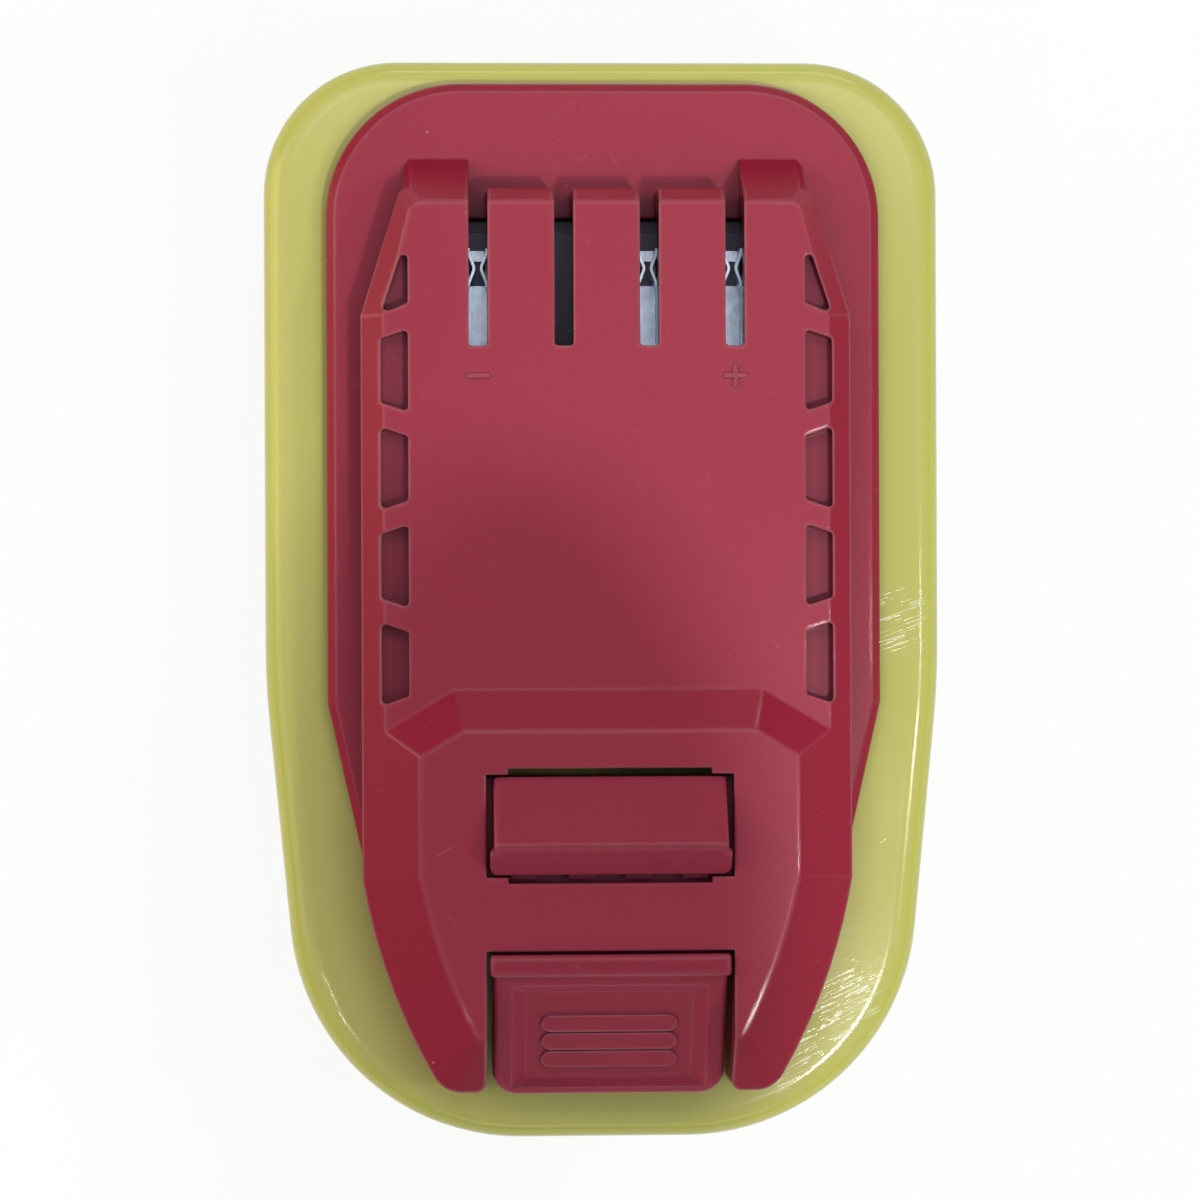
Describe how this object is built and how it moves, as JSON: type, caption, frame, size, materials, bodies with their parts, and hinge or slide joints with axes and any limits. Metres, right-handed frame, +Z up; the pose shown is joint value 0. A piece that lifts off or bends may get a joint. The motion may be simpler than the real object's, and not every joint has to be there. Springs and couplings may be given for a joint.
{
  "type": "tool battery adapter",
  "caption": "Adapter block: a post-type battery plugs in below, a cordless tool slides onto the top rails until the sprung latch holds it; pressing the ribbed thumb button frees it.",
  "frame": {"origin": "middle of the foot's lower face, under the middle of the housing's outline", "axes": "+Z up from the foot to the rails, +Y towards the end where the tool's blades enter, +X to the right seen from above with +Y away"},
  "size_m": [0.076, 0.1212, 0.0718],
  "materials": {
    "lime_shell": "smooth injection-moulded lime green plastic",
    "red_cover": "satin injection-moulded crimson plastic",
    "red_latch": "satin injection-moulded crimson plastic",
    "black_foot": "fine-textured black plastic",
    "black_carrier": "smooth dark plastic",
    "grey_insulator": "smooth dark grey plastic",
    "plated_contact": "bright plated spring strip",
    "black_insulation": "smooth wire insulation",
    "red_insulation": "smooth wire insulation",
    "white_insulation": "smooth wire insulation",
    "solder": "dull solder",
    "screw_steel": "zinc-plated steel",
    "black_screw_steel": "blackened steel",
    "spring_steel": "bright spring wire"
  },
  "bodies": {
    "adapter_body": {"housing": "lime_shell", "battery_socket": "black_foot", "rail_cover": "red_cover", "terminal_carrier": "black_carrier", "contact_block": "grey_insulator", "negative_fork": "plated_contact", "sense_fork": "plated_contact", "positive_fork": "plated_contact", "negative_leaf": "plated_contact", "positive_leaf": "plated_contact", "sense_leaf": "plated_contact", "negative_wire": "black_insulation", "positive_wire": "red_insulation", "sense_wire": "white_insulation", "solder_joints": "solder", "cover_screws": "screw_steel", "carrier_screws": "screw_steel", "foot_screws": "black_screw_steel", "block_screws": "screw_steel", "latch_spring_left": "spring_steel", "latch_spring_right": "spring_steel"},
    "latch": {"release_latch": "red_latch"}
  },
  "joints": [
    {"name": "latch_press", "type": "slide", "parent": "adapter_body", "child": "latch", "axis": [0, 0, -1], "range_m": [0, 0.004], "stiffness_N_per_m": 2000, "springref_m": -0.002, "deforming": ["latch_spring_left", "latch_spring_right"]}
  ]
}
